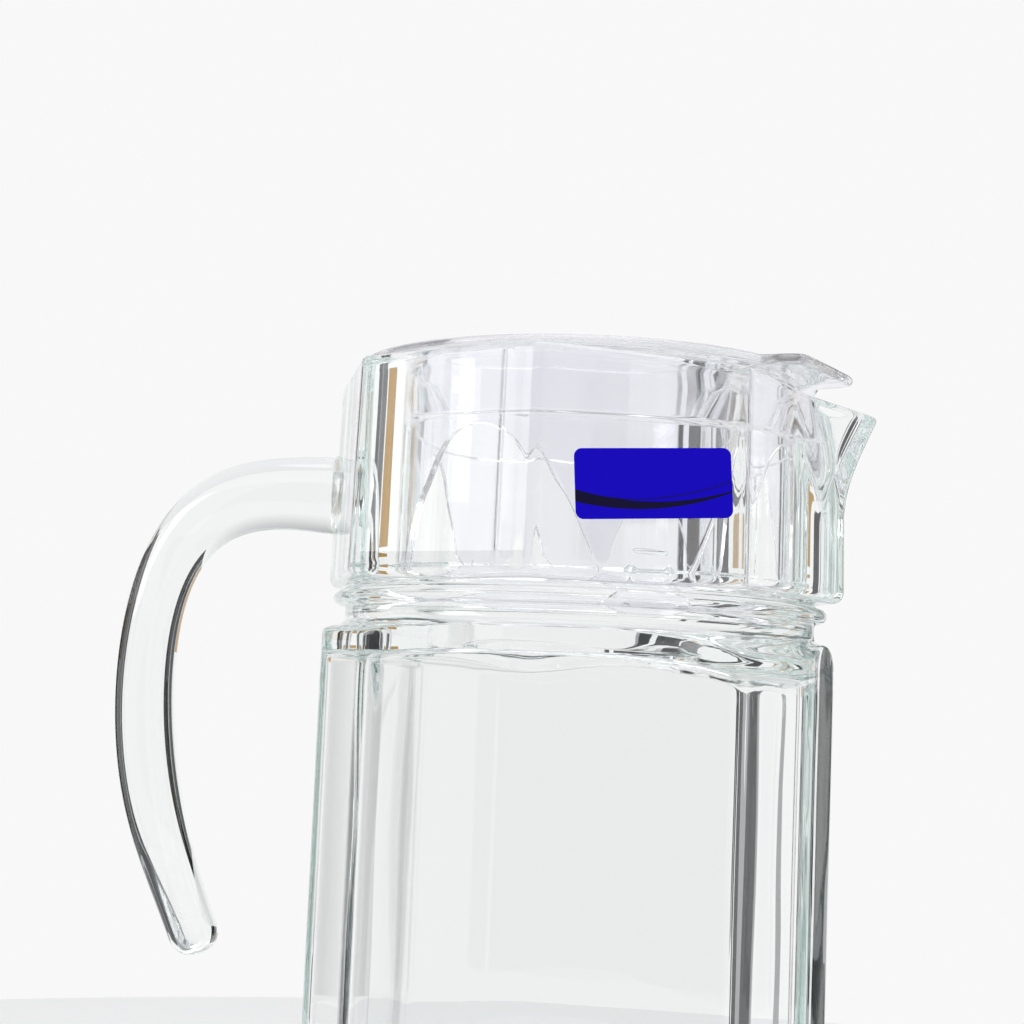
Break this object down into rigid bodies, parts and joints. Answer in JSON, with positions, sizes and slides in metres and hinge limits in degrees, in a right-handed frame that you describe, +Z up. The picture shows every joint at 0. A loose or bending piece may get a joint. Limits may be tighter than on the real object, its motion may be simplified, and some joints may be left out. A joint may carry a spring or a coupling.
{
  "type": "large water jug",
  "caption": "Glass water jug with a square body, an octagonal collar with pouring spout, an open C handle and a clear lift-off lid with legs.",
  "frame": {"origin": "on the flat base, on the axis of the round mouth", "axes": "+Z up, +X towards the spout with the handle on the -X side, +Y across the jug"},
  "size_m": [0.1711, 0.1164, 0.2284],
  "materials": {
    "jug_glass": "clear pressed glass, fire-polished",
    "lid_plastic": "clear moulded plastic, glossy",
    "label_print": "printed blue label with a white edge, glossy"
  },
  "bodies": {
    "jug": {"jug_body": "jug_glass", "handle": "jug_glass", "label": "label_print"},
    "lid": {"lid": "lid_plastic"}
  },
  "joints": [
    {"name": "lid_lift", "type": "slide", "parent": "jug", "child": "lid", "axis": [0, 0, 1], "range_m": [0, 0.07]}
  ]
}
